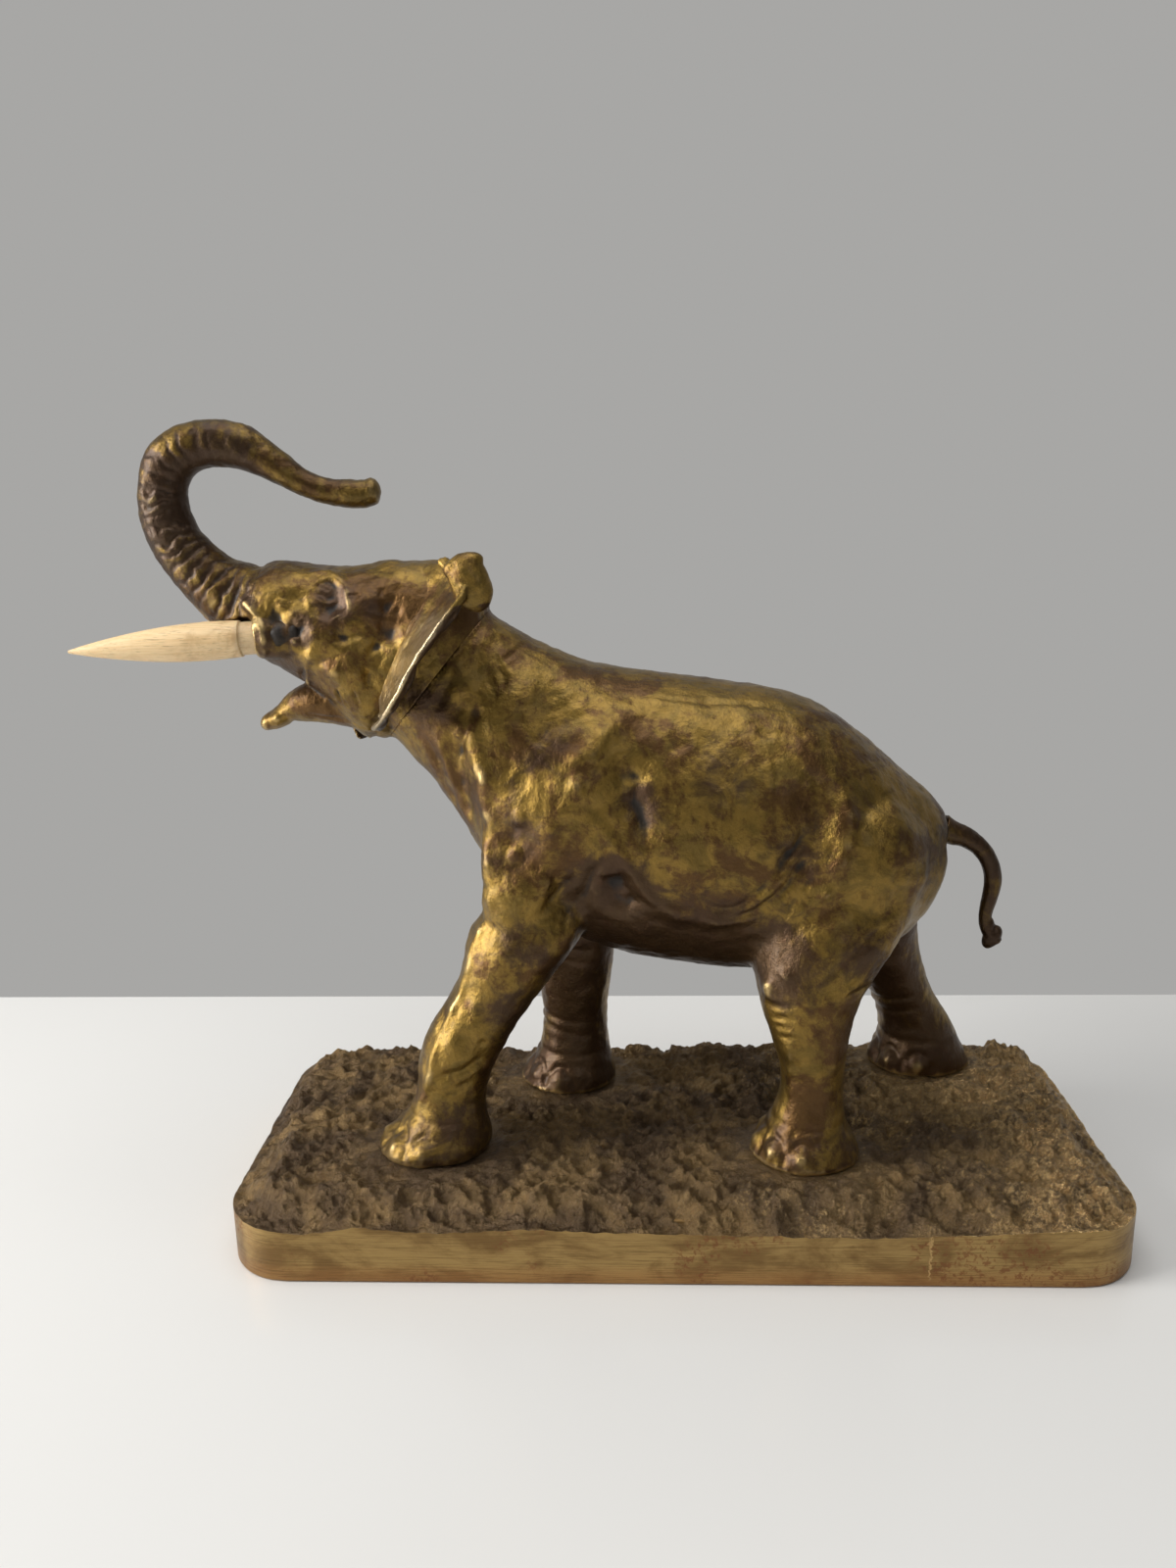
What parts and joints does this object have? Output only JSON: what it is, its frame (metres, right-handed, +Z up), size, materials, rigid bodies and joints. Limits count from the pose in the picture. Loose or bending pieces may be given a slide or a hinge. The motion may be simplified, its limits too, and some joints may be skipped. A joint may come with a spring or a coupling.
{
  "type": "elephant figurine",
  "caption": "Cast brass elephant striding with its trunk raised, with turned bone tusks, screwed to a hollow rocky ground plate with a brushed rim.",
  "frame": {"origin": "centre of the ground plate, on the plane that it rests on", "axes": "+Z up, +X along the plate from the animal's head to its tail, -Y the animal's left side"},
  "size_m": [0.2681, 0.096, 0.2112],
  "materials": {
    "cast_brass": "sand-cast brass with a mottled brown patina, rubbed bright on the ridges",
    "brass_rod": "drawn rod, filed flush",
    "bone": "turned and polished bone, cream with faint lengthwise grain",
    "steel": "dull zinc-plated steel"
  },
  "bodies": {
    "root": {"base_casting": "cast_brass", "body_casting": "cast_brass", "head_casting": "cast_brass", "trunk_casting": "cast_brass", "tail": "cast_brass", "ear_left": "cast_brass", "ear_right": "cast_brass", "tusk_left": "bone", "tusk_right": "bone", "neck_pin": "brass_rod", "trunk_pin": "brass_rod", "tail_pin": "brass_rod", "ear_pin_left": "brass_rod", "ear_pin_right": "brass_rod", "foot_screw_front_left": "steel", "foot_screw_front_right": "steel", "foot_screw_hind_left": "steel", "foot_screw_hind_right": "steel", "foot_washer_front_left": "steel", "foot_washer_front_right": "steel", "foot_washer_hind_left": "steel", "foot_washer_hind_right": "steel"}
  },
  "joints": []
}
